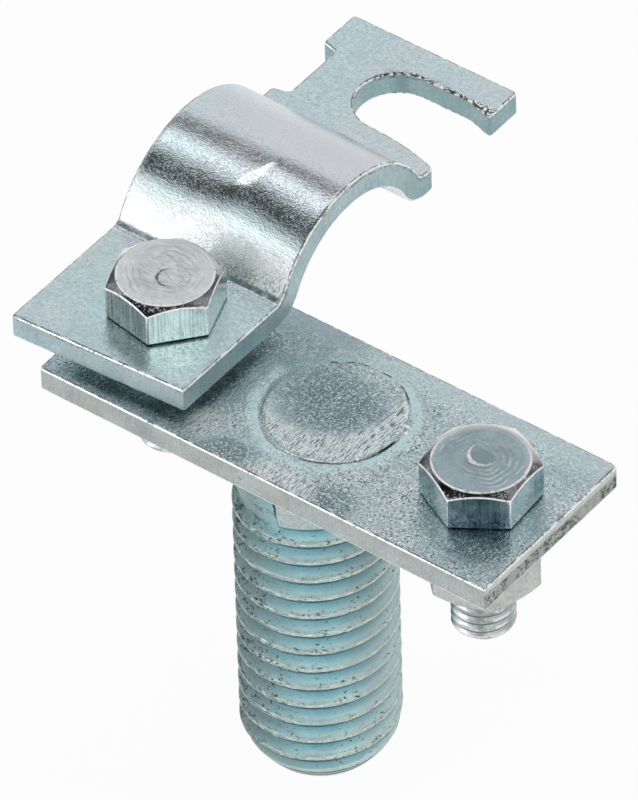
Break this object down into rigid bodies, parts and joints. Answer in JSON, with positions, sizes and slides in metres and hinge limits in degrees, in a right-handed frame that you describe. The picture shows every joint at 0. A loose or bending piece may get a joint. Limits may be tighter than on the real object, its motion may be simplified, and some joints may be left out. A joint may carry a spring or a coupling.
{
  "type": "lightning conductor holder",
  "caption": "Stud-mounted rod clamp: a swing-over strap pivots on one bolt and hooks its fork under the head of another to hold a round conductor down on a flat bar.",
  "frame": {"origin": "on the stud's axis, where its shoulder meets the underside of the flat bar", "axes": "+Z along the stud's axis, away from its free end; +X along the flat bar from the pivot bolt to the closing bolt; +Y along the swung-open strap"},
  "size_m": [0.0715, 0.0694, 0.0678],
  "materials": {
    "bar_zinc": "bright zinc plating, satin, scuffed",
    "stud_zinc": "bright zinc plating on a rolled thread",
    "strap_zinc": "bright zinc plating, satin with a fine grain",
    "bolt_zinc": "bright zinc plating, glossy",
    "nut_zinc": "bright zinc plating, satin"
  },
  "bodies": {
    "base": {"base_bar": "bar_zinc", "threaded_stud": "stud_zinc", "spacer_washer": "nut_zinc"},
    "pivot_nut": {"pivot_nut": "nut_zinc"},
    "pivot_bolt": {"pivot_bolt": "bolt_zinc"},
    "strap": {"clamp_strap": "strap_zinc"},
    "closing_bolt": {"closing_bolt": "bolt_zinc"},
    "closing_nut": {"closing_nut": "nut_zinc"}
  },
  "joints": [
    {"name": "pivot_nut_turn", "type": "hinge", "parent": "base", "child": "pivot_nut", "pos_m": [-0.02175, 0, -0.00325], "axis": [0, 0, 1], "continuous": true},
    {"name": "pivot_bolt_lift", "type": "slide", "parent": "base", "child": "pivot_bolt", "axis": [0, 0, 1], "range_m": [0, 0.005]},
    {"name": "strap_swing", "type": "hinge", "parent": "pivot_bolt", "child": "strap", "pos_m": [-0.02175, 0, 0.0067], "axis": [0, 0, 1], "range_deg": [-90, 0]},
    {"name": "closing_bolt_lift", "type": "slide", "parent": "base", "child": "closing_bolt", "axis": [0, 0, 1], "range_m": [0, 0.0101]},
    {"name": "closing_nut_run", "type": "slide", "parent": "closing_bolt", "child": "closing_nut", "axis": [0, 0, 1], "range_m": [-0.00775, 0]}
  ],
  "couplings": [
    {"joint": "closing_bolt_lift", "follows": "strap_swing", "m_per_rad": -0.0064298},
    {"joint": "closing_nut_run", "follows": "strap_swing", "m_per_rad": 0.0049337}
  ]
}
